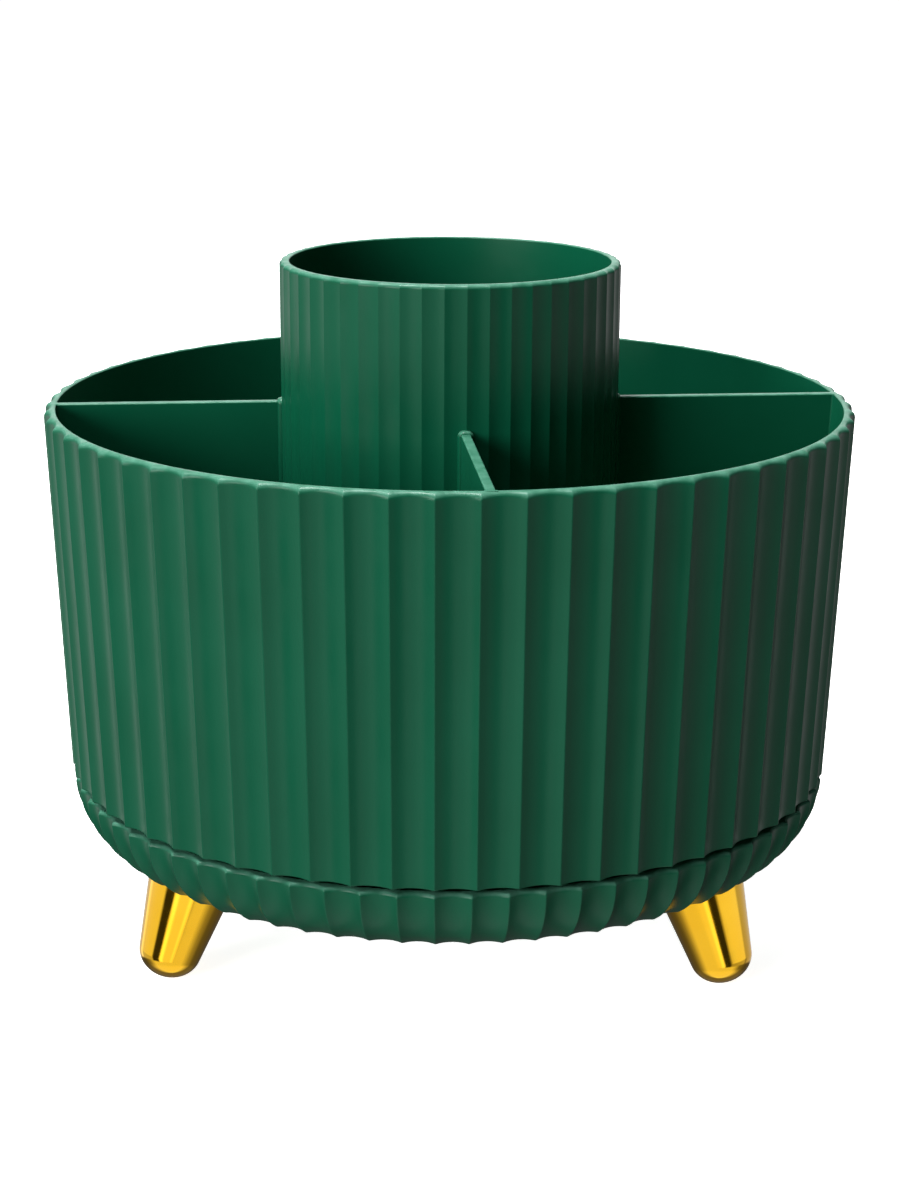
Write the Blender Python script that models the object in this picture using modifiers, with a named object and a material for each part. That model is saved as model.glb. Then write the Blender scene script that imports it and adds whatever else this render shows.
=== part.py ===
"""A rotating makeup organizer: a fluted drum with four compartments round a taller cup.

The drum turns on a ring of balls over a shallow fluted tray, which stands on three feet that lean outwards.
Metres, +Z up, the floor at height 0 and the turning axis at the origin. The front is towards -Y, and a turn
is counted from the front, anticlockwise seen from above.
"""

from math import asin, atan2, cos, degrees, hypot, pi, radians, sin, tan

import bmesh
import bpy
from mathutils import Matrix

# Tray
tray_underside = 0.0272
tray_height = 0.0142
tray_inset = 0.0003
tray_side_lean = 0.0075
tray_turn_height = 0.0004
tray_side_bulge = 0.0018
tray_edge_round = 0.0006
tray_wall = 0.0028
tray_floor = 0.0024
tray_flutes = 72
tray_flute_depth = 0.0012

# Drum, measured to the crests of its flutes
running_gap = 0.0011
drum_height = 0.0825
drum_rim_radius = 0.0900
drum_side_lean = 0.0032
drum_wall = 0.0026
drum_floor = 0.0025
drum_flutes = 64
drum_flute_depth = 0.0012
drum_edge_round = 0.0010
drum_foot_round = 0.0004
mouth_round = 0.0003
corner_round = 0.0020

# Cup
cup_radius = 0.0377
cup_rise = 0.0312
cup_wall = 0.0019
cup_flutes = 50
cup_flute_depth = 0.00035
cup_edge_round = 0.0006

# Dividers
divider_count = 4
divider_turn = radians(6.9)
divider_thickness = 0.0021
divider_edge_round = 0.0004
divider_cup_fillet = 0.0010
divider_wall_fillet = 0.0005

# Ball ring
ball_count = 12
ball_radius = 0.0025
track_inset = 0.0212
track_shoulder = 0.0012
cage_thickness = 0.0016
cage_margin = 0.0020
cage_clearance = 0.0007

# Pivot
hub_radius = 0.0070
hub_end = 0.0004
sleeve_height = 0.0092
sleeve_wall = 0.0027
recess_depth = 0.0045
recess_margin = 0.0012
recess_wall = 0.0025
pad_thickness = 0.0024
washer_radius = 0.0095
washer_thickness = 0.0010
pivot_shank_radius = 0.0020
pivot_head_radius = 0.0038
pivot_head_height = 0.0020
pivot_bite = 0.0080

# Feet
foot_turns = {"left": radians(-59), "right": radians(61), "back": radians(181)}
foot_inset = 0.0078
foot_splay = radians(19.5)
foot_flare = radians(9)
foot_tip_radius = 0.0070
foot_tip_depth = 0.0061
sole_depth = 0.0003
socket_depth = 0.0008

# Foot screws
boss_radius = 0.0050
boss_height = 0.0032
screw_shank_radius = 0.0014
screw_head_radius = 0.0028
screw_head_height = 0.0018
screw_bite = 0.0100
hole_spare = 0.0015
recess_width_share = 0.22
recess_reach_share = 0.62
recess_depth_share = 0.55
pan_head_shares = ((0, 1), (0.6, 0.93), (0.9, 0.7), (1, 0.35), (1, 0))

# Fits and cuts
seat_gap = 0.0003
join_depth = 0.0005
overrun = 0.0020
merge_distance = 0.00001

# Smoothness
flute_steps = 3
bore_steps = 64
track_steps = 36
hub_steps = 32
foot_steps = 24
tip_steps = 5
hole_steps = 16
screw_steps = 14
ball_segments = 8
ball_rings = 6

# Heights that follow
tray_rim = tray_underside + tray_height
tray_floor_top = tray_underside + tray_floor
drum_base = tray_rim + running_gap
drum_floor_top = drum_base + drum_floor
drum_rim = drum_base + drum_height
cup_rim = drum_rim + cup_rise
ball_height = (tray_floor_top + drum_base) / 2
track_face_gap = cage_thickness / 2 + cage_clearance
recess_ceiling = tray_underside + recess_depth
hub_bottom = recess_ceiling - hub_end
washer_top = hub_bottom - seat_gap
pivot_seat = washer_top - washer_thickness - seat_gap
boss_top = tray_floor_top + boss_height
foot_top = tray_underside + socket_depth
foot_centre_height = hypot(foot_tip_radius * sin(foot_splay), foot_tip_depth * cos(foot_splay)) - sole_depth

# Radii that follow
drum_foot_radius = drum_rim_radius - drum_side_lean
tray_rim_radius = drum_foot_radius - tray_inset
tray_turn_radius = tray_rim_radius - tray_side_lean
foot_circle_radius = tray_turn_radius - foot_inset
foot_screw_radius = foot_circle_radius - (foot_top - foot_centre_height) * tan(foot_splay)
track_radius = foot_circle_radius - track_inset
recess_radius = washer_radius + recess_margin
bore_radius = hub_radius + seat_gap
cage_reach = ball_radius + cage_margin
track_reach = ball_radius + track_shoulder
groove_radius = ball_radius + seat_gap


def clear_scene():
    for old in list(bpy.data.objects):
        bpy.data.objects.remove(old)


def collection(name):
    made = bpy.data.collections.new(name)
    bpy.context.scene.collection.children.link(made)
    return made


def material(name, colour, roughness, metallic):
    made = bpy.data.materials.new(name)
    made.use_nodes = True
    shader = made.node_tree.nodes["Principled BSDF"]
    shader.inputs["Base Color"].default_value = (*colour, 1)
    shader.inputs["Roughness"].default_value = roughness
    shader.inputs["Metallic"].default_value = metallic
    return made


def drum_plastic():
    return material("drum_green_plastic", (0.012, 0.105, 0.058), 0.38, 0)


def tray_plastic():
    return material("tray_green_plastic", (0.013, 0.110, 0.062), 0.38, 0)


def gold_plating():
    return material("gold_plating", (0.90, 0.58, 0.10), 0.12, 1)


def cage_plastic():
    return material("cage_white_plastic", (0.80, 0.80, 0.78), 0.45, 0)


def ball_steel():
    return material("ball_steel", (0.62, 0.62, 0.63), 0.15, 1)


def screw_zinc():
    return material("screw_zinc", (0.55, 0.56, 0.58), 0.30, 1)


def on_circle(radius, turn, height):
    return (radius * sin(turn), -radius * cos(turn), height)


def arc(centre, radius, start, end, steps):
    """Points along an arc of a profile. Its angles are in degrees, from outwards, with upwards positive."""
    angles = [radians(start + (end - start) * step / steps) for step in range(steps + 1)]
    return [(centre[0] + radius * cos(angle), centre[1] + radius * sin(angle)) for angle in angles]


def bulged(start, end, bulge, steps):
    """Points along the arc from start to end that stands out by bulge, with the arc's angle at its end."""
    middle = ((start[0] + end[0]) / 2, (start[1] + end[1]) / 2)
    half = hypot(end[0] - start[0], end[1] - start[1]) / 2
    radius = (half ** 2 + bulge ** 2) / (2 * bulge)
    outwards = atan2(start[0] - end[0], start[1] - end[1])
    reach = radius - bulge
    centre = (middle[0] - reach * cos(outwards), middle[1] + reach * sin(outwards))
    spread = degrees(asin(half / radius))
    level = -degrees(outwards)
    return arc(centre, radius, level + spread, level - spread, steps), level - spread


def object_of(name, shape, group):
    mesh = bpy.data.meshes.new(name)
    shape.to_mesh(mesh)
    shape.free()
    mesh.shade_smooth()
    mesh.set_sharp_from_angle(angle=radians(30))
    made = bpy.data.objects.new(name, mesh)
    group.objects.link(made)
    if group == cutters:
        made.hide_render = True
        made.display_type = "WIRE"
    return made


def lofted(name, rings, group):
    """A closed body through like rings of points: the first is a face, extruded through all the others."""
    shape = bmesh.new()
    cap = shape.faces.new([shape.verts.new(point) for point in rings[0]])
    for ring in rings[1:]:
        grown = bmesh.ops.extrude_face_region(shape, geom=[cap, *cap.edges, *cap.verts])["geom"]
        cap = next(item for item in grown if isinstance(item, bmesh.types.BMFace))
        for vert, point in zip(cap.verts, ring):
            vert.co = point
    bmesh.ops.recalc_face_normals(shape, faces=shape.faces)
    return object_of(name, shape, group)


def stacked(name, levels, steps):
    """A round cutter with flat ends, through (radius, height) levels from the lowest level up."""
    turns = [2 * pi * step / steps for step in range(steps)]
    rings = [[on_circle(radius, turn, height) for turn in turns] for radius, height in levels]
    return lofted(name, rings, cutters)


def turned(name, profile, group, steps, closed=False):
    """A profile of (radius, height) points, running down its outer side, turned about the vertical axis."""
    shape = bmesh.new()
    verts = [shape.verts.new((radius, 0, height)) for radius, height in profile]
    pairs = list(zip(verts, verts[1:]))
    if closed:
        pairs.append((verts[-1], verts[0]))
    for pair in pairs:
        shape.edges.new(pair)
    made = object_of(name, shape, group)
    turn = made.modifiers.new("Turn", "SCREW")
    turn.steps = steps
    turn.render_steps = steps
    turn.use_merge_vertices = True
    turn.merge_threshold = merge_distance
    return made


def cylinder(name, radius, low, high, circle_radius, turn):
    """An upright cylinder between two heights, centred on a circle about the axis, with a side facing it."""
    shape = bmesh.new()
    bmesh.ops.create_cone(
        shape, cap_ends=True, segments=hole_steps, radius1=radius, radius2=radius, depth=high - low
    )
    bmesh.ops.rotate(shape, verts=shape.verts, matrix=Matrix.Rotation(turn + pi / hole_steps, 3, "Z"))
    bmesh.ops.translate(shape, verts=shape.verts, vec=on_circle(circle_radius, turn, (low + high) / 2))
    return object_of(name, shape, cutters)


def slab(name, reach, low, high):
    """A wide box between two heights, for keeping what lies between them."""
    shape = bmesh.new()
    bmesh.ops.create_cube(shape, size=1)
    bmesh.ops.scale(shape, verts=shape.verts, vec=(2 * reach, 2 * reach, high - low))
    bmesh.ops.translate(shape, verts=shape.verts, vec=(0, 0, (low + high) / 2))
    return object_of(name, shape, cutters)


def combine(part, tool, operation):
    step = part.modifiers.new(tool.name, "BOOLEAN")
    step.operation = operation
    step.object = tool


def cut(part, tool):
    combine(part, tool, "DIFFERENCE")


def join(part, tool):
    combine(part, tool, "UNION")


def keep_inside(part, tool):
    combine(part, tool, "INTERSECT")


def fluted_ring(radius, height, flutes, depth):
    """Points round a ring of hollow flutes. The crests lie on the radius, and one of them faces the front."""
    points = []
    for step in range(flutes * flute_steps):
        share = (step % flute_steps) / flute_steps
        reach = radius - 4 * depth * share * (1 - share)
        points.append(on_circle(reach, 2 * pi * step / (flutes * flute_steps), height))
    return points


def fluted(name, profile, flutes, depth, group):
    """A fluted body through (radius, height) levels, from the lowest level up."""
    return lofted(name, [fluted_ring(radius, height, flutes, depth) for radius, height in profile], group)


def drum_bore(height):
    """Radius of the drum's smooth inside at a height. It widens upwards as the outside does."""
    share = (height - drum_base) / drum_height
    return drum_foot_radius + share * drum_side_lean - drum_wall


def drum_cavity():
    mouth = drum_bore(drum_rim)
    foot = drum_bore(drum_floor_top)
    levels = arc((foot - corner_round, drum_floor_top + corner_round), corner_round, -90, 0, 2)
    levels += [(mouth, drum_rim - mouth_round), (mouth + mouth_round, drum_rim)]
    return stacked("drum_cavity", levels + [(mouth + mouth_round, drum_rim + overrun)], bore_steps)


def cup_body():
    edge = arc((cup_radius - cup_edge_round, cup_rim - cup_edge_round), cup_edge_round, 0, 90, 2)
    levels = [(cup_radius, drum_floor_top - join_depth)] + edge
    return fluted("cup_body", levels, cup_flutes, cup_flute_depth, cutters)


def cup_cavity():
    bore = cup_radius - cup_wall
    levels = arc((bore - corner_round, drum_floor_top + corner_round), corner_round, -90, 0, 2)
    levels += [(bore, cup_rim - mouth_round), (bore + mouth_round, cup_rim)]
    return stacked("cup_cavity", levels + [(bore + mouth_round, cup_rim + overrun)], bore_steps)


def divider_ring(half, height, turn):
    """Plan of a divider at a height: a plate flaring into the cup at one end and the wall at the other."""
    cup_face = cup_radius - cup_flute_depth
    wall_face = drum_bore(height)
    cup_fillet = divider_cup_fillet
    wall_fillet = divider_wall_fillet
    side = [(cup_face - join_depth, half + cup_fillet)]
    side += arc((cup_face + cup_fillet, half + cup_fillet), cup_fillet, 180, 270, 3)
    side += arc((wall_face - wall_fillet, half + wall_fillet), wall_fillet, 270, 360, 2)
    side += [(wall_face + join_depth, half + wall_fillet)]
    plan = side + [(along, -across) for along, across in reversed(side)]
    return [
        (along * sin(turn) + across * cos(turn), across * sin(turn) - along * cos(turn), height)
        for along, across in plan
    ]


def divider(index):
    turn = divider_turn + 2 * pi * index / divider_count
    half = divider_thickness / 2
    edge = arc((half - divider_edge_round, drum_rim - divider_edge_round), divider_edge_round, 0, 90, 2)
    levels = [(half, drum_floor_top - join_depth)] + edge
    rings = [divider_ring(across, height, turn) for across, height in levels]
    return lofted(f"divider_{index + 1}", rings, cutters)


def upper_track():
    face = ball_height + track_face_gap
    lean = degrees(asin(track_face_gap / groove_radius))
    profile = [(track_radius + track_reach, drum_base + join_depth), (track_radius + track_reach, face)]
    profile += arc((track_radius, ball_height), groove_radius, lean, 180 - lean, 3)
    profile += [(track_radius - track_reach, face), (track_radius - track_reach, drum_base + join_depth)]
    return turned("upper_track", profile, cutters, track_steps, closed=True)


def lower_track():
    face = ball_height - track_face_gap
    lean = degrees(asin(track_face_gap / groove_radius))
    profile = [(track_radius + track_reach, face), (track_radius + track_reach, tray_floor_top - join_depth)]
    profile += [(track_radius - track_reach, tray_floor_top - join_depth), (track_radius - track_reach, face)]
    profile += arc((track_radius, ball_height), groove_radius, lean - 180, -lean, 3)
    return turned("lower_track", profile, cutters, track_steps, closed=True)


def hub():
    pilot_radius = pivot_shank_radius + seat_gap
    pilot_top = hub_bottom + pivot_bite + hole_spare
    profile = [(0, drum_base + join_depth), (hub_radius, drum_base + join_depth), (hub_radius, hub_bottom)]
    profile += [(pilot_radius, hub_bottom), (pilot_radius, pilot_top), (0, pilot_top)]
    return turned("hub", profile, cutters, hub_steps)


def compartment_drum():
    foot_centre = (drum_foot_radius - drum_foot_round, drum_base + drum_foot_round)
    rim_centre = (drum_rim_radius - drum_edge_round, drum_rim - drum_edge_round)
    profile = arc(foot_centre, drum_foot_round, -90, 0, 1) + arc(rim_centre, drum_edge_round, 0, 90, 2)
    drum = fluted("compartment_drum", profile, drum_flutes, drum_flute_depth, parts)
    cut(drum, drum_cavity())
    join(drum, cup_body())
    for index in range(divider_count):
        join(drum, divider(index))
    cut(drum, cup_cavity())
    join(drum, upper_track())
    join(drum, hub())
    drum.data.materials.append(drum_plastic())
    return drum


def tray_profile():
    """(radius, height) levels up the tray's outside, through the crests of its flutes."""
    turn_point = (tray_turn_radius, tray_underside + tray_turn_height)
    rim_point = (tray_rim_radius, tray_rim - tray_edge_round)
    side, lean = bulged(rim_point, turn_point, tray_side_bulge, 3)
    foot_round = tray_turn_height / (1 + sin(radians(lean)))
    foot_centre = (tray_turn_radius - foot_round * cos(radians(lean)), tray_underside + foot_round)
    foot_edge = arc(foot_centre, foot_round, -90, lean, 2)
    rim_centre = (tray_rim_radius - tray_edge_round, tray_rim - tray_edge_round)
    return foot_edge + side[-2:0:-1] + arc(rim_centre, tray_edge_round, 0, 90, 2)


def tray_cavity():
    mouth = (tray_rim_radius - tray_wall, tray_rim)
    foot = (tray_turn_radius - tray_wall, tray_floor_top)
    side, _ = bulged(mouth, foot, tray_side_bulge, 3)
    return stacked("tray_cavity", side[::-1] + [(mouth[0], tray_rim + overrun)], bore_steps)


def pivot_seat_ring():
    """The pad over the washer's recess and the sleeve that guides the hub, before the bore is cut."""
    pad_radius = recess_radius + recess_wall
    pad_top = recess_ceiling + pad_thickness
    pad_foot = tray_underside + join_depth
    sleeve_radius = bore_radius + sleeve_wall
    sleeve_top = tray_floor_top + sleeve_height
    levels = [(pad_radius, pad_foot), (pad_radius, pad_top), (sleeve_radius, pad_top)]
    return stacked("pivot_seat_ring", levels + [(sleeve_radius, sleeve_top)], hub_steps)


def pivot_bore():
    top = tray_floor_top + sleeve_height + overrun
    levels = [(recess_radius, tray_underside - overrun), (recess_radius, recess_ceiling)]
    return stacked("pivot_bore", levels + [(bore_radius, recess_ceiling), (bore_radius, top)], hub_steps)


def foot_shape(name, grow, group, turn):
    """A tapered leg with a domed end, along its own leaning axis and with its origin at the dome's centre."""
    radius = foot_tip_radius + grow
    depth = foot_tip_depth + grow
    length = (foot_top + overrun - foot_centre_height) / cos(foot_splay) + radius * tan(foot_splay)
    start = atan2(depth * tan(foot_flare), radius)
    angles = [start + (pi / 2 - start) * step / tip_steps for step in range(tip_steps + 1)]
    dome = [(radius * cos(angle), -depth * sin(angle)) for angle in angles]
    top_radius = dome[0][0] + (length - dome[0][1]) * tan(foot_flare)
    profile = [(0, length), (top_radius, length)] + dome
    made = turned(name, profile, group, foot_steps)
    made.rotation_euler = (-foot_splay, 0, turn)
    made.location = on_circle(foot_circle_radius, turn, foot_centre_height)
    return made


def foot(side, turn, keep):
    made = foot_shape(f"foot_{side}", 0, parts, turn)
    radius = screw_shank_radius + seat_gap
    low = foot_top - screw_bite - hole_spare
    pilot = cylinder(f"foot_pilot_{side}", radius, low, foot_top + overrun, foot_screw_radius, turn)
    keep_inside(made, keep)
    cut(made, pilot)
    made.data.materials.append(gold_plating())
    return made


def foot_socket(side, turn, keep):
    made = foot_shape(f"foot_socket_{side}", seat_gap, cutters, turn)
    keep_inside(made, keep)
    return made


def base_tray():
    tray = fluted("base_tray", tray_profile(), tray_flutes, tray_flute_depth, parts)
    cut(tray, tray_cavity())
    join(tray, lower_track())
    join(tray, pivot_seat_ring())
    cut(tray, pivot_bore())
    ceiling = foot_top + seat_gap
    socket_slab = slab("socket_slab", tray_rim_radius, tray_underside - overrun, ceiling)
    boss_foot = tray_floor_top - join_depth
    hole_radius = screw_shank_radius + seat_gap
    hole_end = boss_top + overrun
    for side, turn in foot_turns.items():
        boss = cylinder(f"boss_{side}", boss_radius, boss_foot, boss_top, foot_screw_radius, turn)
        hole = cylinder(f"hole_{side}", hole_radius, tray_underside, hole_end, foot_screw_radius, turn)
        join(tray, boss)
        cut(tray, foot_socket(side, turn, socket_slab))
        cut(tray, hole)
    tray.data.materials.append(tray_plastic())
    return tray


def cross_recess(name, head_radius, head_height):
    """The cross cut in a screw's head, over a screw whose head stands on height 0."""
    arm = recess_reach_share * head_radius
    half = recess_width_share * head_radius / 2
    corner = [(arm, -half), (arm, half), (half, half)]
    plan = []
    for quarter in range(4):
        turn = pi / 2 * quarter
        plan += [(x * cos(turn) - y * sin(turn), x * sin(turn) + y * cos(turn)) for x, y in corner]
    low = (1 - recess_depth_share) * head_height
    rings = [[(x, y, height) for x, y in plan] for height in (low, head_height + overrun)]
    return lofted(name, rings, cutters)


def pan_screw(name, head_radius, head_height, shank_radius, length):
    """A pan-head screw, its head above height 0 and its shank below."""
    head = [(across * head_radius, up * head_height) for across, up in pan_head_shares]
    shank = [(shank_radius, 0), (shank_radius, shank_radius - length), (0, -length)]
    made = turned(name, head + shank, parts, screw_steps)
    recess = cross_recess(f"{name}_recess", head_radius, head_height)
    recess.parent = made
    cut(made, recess)
    made.data.materials.append(screw_zinc())
    return made


def foot_screw(side, turn):
    seat = boss_top + seat_gap
    length = seat - (foot_top - screw_bite)
    made = pan_screw(f"foot_screw_{side}", screw_head_radius, screw_head_height, screw_shank_radius, length)
    made.location = on_circle(foot_screw_radius, turn, seat)
    return made


def pivot_screw():
    length = hub_bottom + pivot_bite - pivot_seat
    made = pan_screw("pivot_screw", pivot_head_radius, pivot_head_height, pivot_shank_radius, length)
    made.location = (0, 0, pivot_seat)
    made.rotation_euler = (pi, 0, 0)
    return made


def pivot_washer():
    bore = pivot_shank_radius + seat_gap
    low = washer_top - washer_thickness
    profile = [(washer_radius, washer_top), (washer_radius, low), (bore, low), (bore, washer_top)]
    made = turned("pivot_washer", profile, parts, hub_steps, closed=True)
    made.data.materials.append(screw_zinc())
    return made


def ball_cage():
    half = cage_thickness / 2
    outer = track_radius + cage_reach
    inner = track_radius - cage_reach
    low = ball_height - half
    high = ball_height + half
    profile = [(outer, high), (outer, low), (inner, low), (inner, high)]
    cage = turned("ball_cage", profile, parts, track_steps, closed=True)
    radius = ball_radius + seat_gap
    for index in range(ball_count):
        turn = 2 * pi * index / ball_count
        cut(cage, cylinder(f"pocket_{index + 1}", radius, low - overrun, high + overrun, track_radius, turn))
    cage.data.materials.append(cage_plastic())
    return cage


def balls():
    shape = bmesh.new()
    bmesh.ops.create_uvsphere(shape, u_segments=ball_segments, v_segments=ball_rings, radius=ball_radius)
    first = object_of("ball_01", shape, parts)
    first.data.materials.append(ball_steel())
    made = [first]
    for index in range(1, ball_count):
        copy = bpy.data.objects.new(f"ball_{index + 1:02d}", first.data)
        parts.objects.link(copy)
        made.append(copy)
    for index, ball in enumerate(made):
        ball.location = on_circle(track_radius, 2 * pi * index / ball_count, ball_height)
    return made


def axis_empty(name, children):
    """An empty on the turning axis that carries the pieces that turn together."""
    empty = bpy.data.objects.new(name, None)
    parts.objects.link(empty)
    for child in children:
        child.parent = empty


clear_scene()
parts = collection("rotating_makeup_organizer")
cutters = collection("cutters")
tray = base_tray()
foot_slab = slab("foot_slab", tray_rim_radius, 0, foot_top)
for foot_side, foot_turn in foot_turns.items():
    foot(foot_side, foot_turn, foot_slab).parent = tray
    foot_screw(foot_side, foot_turn).parent = tray
axis_empty("drum_axis", [compartment_drum(), pivot_washer(), pivot_screw()])
axis_empty("cage_axis", [ball_cage()] + balls())
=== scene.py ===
"""A rotating makeup organizer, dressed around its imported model: fine flutes, mouldings and finishes.

Metres, +Z up, the floor at height 0 and the turning axis at the origin. The front is towards -Y, and a turn
is counted from the front, anticlockwise seen from above.
"""

from math import acos, asin, atan2, cos, degrees, hypot, pi, radians, sin, tan

import bmesh
import bpy
from mathutils import Matrix, Vector


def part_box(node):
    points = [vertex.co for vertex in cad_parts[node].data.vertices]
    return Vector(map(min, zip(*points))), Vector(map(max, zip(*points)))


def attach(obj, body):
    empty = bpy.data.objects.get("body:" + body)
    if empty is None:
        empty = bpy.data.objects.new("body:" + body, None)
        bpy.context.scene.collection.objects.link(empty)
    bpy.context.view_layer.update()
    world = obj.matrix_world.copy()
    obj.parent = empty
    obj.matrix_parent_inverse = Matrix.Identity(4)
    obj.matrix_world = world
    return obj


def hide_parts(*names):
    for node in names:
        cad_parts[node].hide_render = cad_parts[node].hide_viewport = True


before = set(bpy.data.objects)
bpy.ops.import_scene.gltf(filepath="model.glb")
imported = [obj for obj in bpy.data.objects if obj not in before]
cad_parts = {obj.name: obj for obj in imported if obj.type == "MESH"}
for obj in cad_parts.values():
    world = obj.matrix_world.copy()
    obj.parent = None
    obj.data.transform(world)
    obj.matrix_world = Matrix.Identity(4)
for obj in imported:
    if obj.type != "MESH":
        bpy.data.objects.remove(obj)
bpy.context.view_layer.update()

# Sizes that the frame gives
drum_low, drum_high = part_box("compartment_drum")
tray_low, tray_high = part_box("base_tray")
cage_low, cage_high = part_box("ball_cage")
washer_low, washer_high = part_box("pivot_washer")
screw_low, screw_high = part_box("pivot_screw")
drum_rim_radius = drum_high.x
cup_rim = drum_high.z
hub_bottom = drum_low.z
tray_underside = tray_low.z
tray_rim = tray_high.z
tray_rim_radius = tray_high.x
foot_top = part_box("foot_left")[1].z

# Tray
tray_turn_radius = 0.0790
tray_turn_height = 0.0004
tray_side_bulge = 0.0018
tray_edge_round = 0.0009
tray_wall = 0.0028
tray_floor = 0.0024
tray_flutes = 72
tray_flute_depth = 0.0012
tray_crest_round = 0.00035

# Drum, measured to the crests of its flutes
running_gap = 0.0011
drum_height = 0.0825
drum_foot_radius = 0.0868
drum_wall = 0.0026
drum_floor = 0.0025
drum_flutes = 64
drum_flute_depth = 0.0012
drum_crest_round = 0.00040
drum_edge_round = 0.0016
drum_edge_flute_share = 0.5
drum_foot_round = 0.0004
mouth_round = 0.00035
corner_round = 0.0020

# Cup
cup_radius = 0.0377
cup_wall = 0.0022
cup_flutes = 50
cup_flute_depth = 0.00035
cup_crest_round = 0.00030
cup_edge_round = 0.0010

# Dividers
divider_count = 4
divider_turn = radians(6.9)
divider_thickness = 0.0021
divider_edge_round = 0.0004
divider_end_swell = 0.0007
divider_end_reach = 0.0012
divider_round_share = 1.5
cup_fillet_clear = 0.0012
divider_wall_fillet = 0.0005

# Ball ring
ball_count = 12
ball_radius = 0.0025
track_radius = 0.0500
track_shoulder = 0.0012
cage_clearance = 0.0007

# Pivot
hub_radius = 0.0070
sleeve_height = 0.0092
sleeve_wall = 0.0027
recess_depth = 0.0045
recess_margin = 0.0012
recess_wall = 0.0025
pad_thickness = 0.0024
pivot_shank_radius = 0.0020
pivot_head_height = 0.0020
pivot_bite = 0.0080

# Feet
foot_turns = {"left": radians(-59), "right": radians(61), "back": radians(181)}
foot_circle_radius = 0.0712
foot_splay = radians(19.5)
foot_flare = radians(9)
foot_tip_radius = 0.0070
foot_tip_depth = 0.0061
sole_depth = 0.0003
boss_radius = 0.0050
boss_height = 0.0032
foot_shank_radius = 0.0014
foot_head_height = 0.0018
screw_bite = 0.0100
hole_spare = 0.0015

# Screw heads and threads, as shares of the screw's own sizes
cross_width_share = 0.22
cross_reach_share = 0.62
cross_depth_share = 0.55
cross_floor_share = 0.55
head_side_share = 0.45
thread_rate = 1.8
thread_root_share = 0.82
screw_tip_share = 0.5

# Fits and cuts
seat_gap = 0.0003
join_depth = 0.0005
overrun = 0.0020
small_round = 0.00025

# Smoothness: steps once around
round_steps = 128
foot_round_steps = 96
thin_round_steps = 48
pocket_round_steps = 32
ball_round_steps = 32

# Smoothness: steps along a profile
crest_steps = 2
hollow_steps = 10
cup_hollow_steps = 6
small_round_steps = 3
foot_edge_steps = 3
mouth_steps = 4
thin_edge_steps = 4
drum_edge_steps = 5
tray_foot_steps = 5
corner_steps = 6
divider_top_steps = 6
divider_nub_steps = 8
divider_fillet_steps = 4
tray_side_steps = 8
screw_head_steps = 8
track_steps = 10
ball_side_steps = 20
foot_dome_steps = 24

# Smoothness: degrees from a ball's middle to the caps at its poles, and the angle from which an edge is sharp
ball_side_reach = 82
sharp_angle = radians(32)

# Heights and radii that follow
tray_floor_top = tray_underside + tray_floor
drum_base = tray_rim + running_gap
drum_floor_top = drum_base + drum_floor
drum_rim = drum_base + drum_height
ball_height = (cage_low.z + cage_high.z) / 2
track_face_gap = (cage_high.z - cage_low.z) / 2 + cage_clearance
track_reach = ball_radius + track_shoulder
groove_radius = ball_radius + seat_gap
recess_ceiling = tray_underside + recess_depth
recess_radius = washer_high.x + recess_margin
bore_radius = hub_radius + seat_gap
boss_top = tray_floor_top + boss_height
foot_centre_height = hypot(foot_tip_radius * sin(foot_splay), foot_tip_depth * cos(foot_splay)) - sole_depth
foot_screw_radius = foot_circle_radius - (foot_top - foot_centre_height) * tan(foot_splay)

# Camera, read from the photograph's rims and silhouettes
camera_turn = radians(1.7)
camera_distance = 0.5303
camera_height = 0.2333
camera_pitch = radians(16.35)
camera_roll = radians(0.26)
camera_aside = 0.00028
camera_lens = 72.1
camera_sensor = 36

# Finishes. A noise is its repeats in a metre, its detail and, where it isn't one half, its roughness. A relief
# is its depth and its strength. Other pairs run from least to most. noise_middle is what a noise mostly spans.
noise_middle = (0.3, 0.7)
green_deep = (0.0022, 0.083, 0.039)
green_light = (0.0032, 0.095, 0.046)
# The paler green below is painted on the rims' upward faces: partly wear, partly a painted highlight.
green_worn_highlight = (0.07, 0.21, 0.145)
green_cloud = (38, 4)
green_smudge = (90, 6, 0.6)
green_grain = (2600, 3)
green_roughness = (0.28, 0.38)
green_specular = 0.16
rub_highlight_reach = 0.0025
rub_highlight_slope = (0.15, 0.70)
rub_highlight_patches = (420, 5)
rub_highlight_patch_noise = (0.35, 0.65)
rub_highlight_patch_share = (0.45, 0.95)
gold_deep = (0.98, 0.53, 0.008)
gold_light = (1.0, 0.58, 0.02)
gold_tone = (60, 3)
gold_haze = (260, 5, 0.6)
gold_haze_noise = (0.35, 0.7)
gold_roughness = (0.07, 0.13)
gold_coat = 0.4
gold_coat_roughness = 0.04
gold_ripple = (120, 2)
gold_relief = (0.00003, 0.35)
zinc_dark = (0.50, 0.51, 0.53)
zinc_light = (0.62, 0.63, 0.65)
zinc_roughness = (0.22, 0.40)
zinc_tone = (500, 5)
zinc_grain = (2000, 3)
steel_dark = (0.60, 0.60, 0.61)
steel_light = (0.66, 0.66, 0.67)
steel_roughness = (0.10, 0.18)
steel_tone = (300, 5)
steel_grain = (1200, 3)
metal_relief = (0.00002, 0.4)
cage_deep = (0.74, 0.74, 0.71)
cage_light = (0.83, 0.83, 0.80)
cage_tone = (150, 4)
cage_grain = (2200, 3)
cage_roughness = (0.4, 0.55)
plastic_relief = (0.00003, 0.5)

# Floor, whose glow is painted light, a little brighter away from the object
floor_reach = 20
floor_tone = (0.90, 0.90, 0.90)
floor_roughness = 0.9
floor_specular = 0.1
floor_glow = (0.9, 1.0)
floor_glow_distances = (0.07, 0.40)

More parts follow.
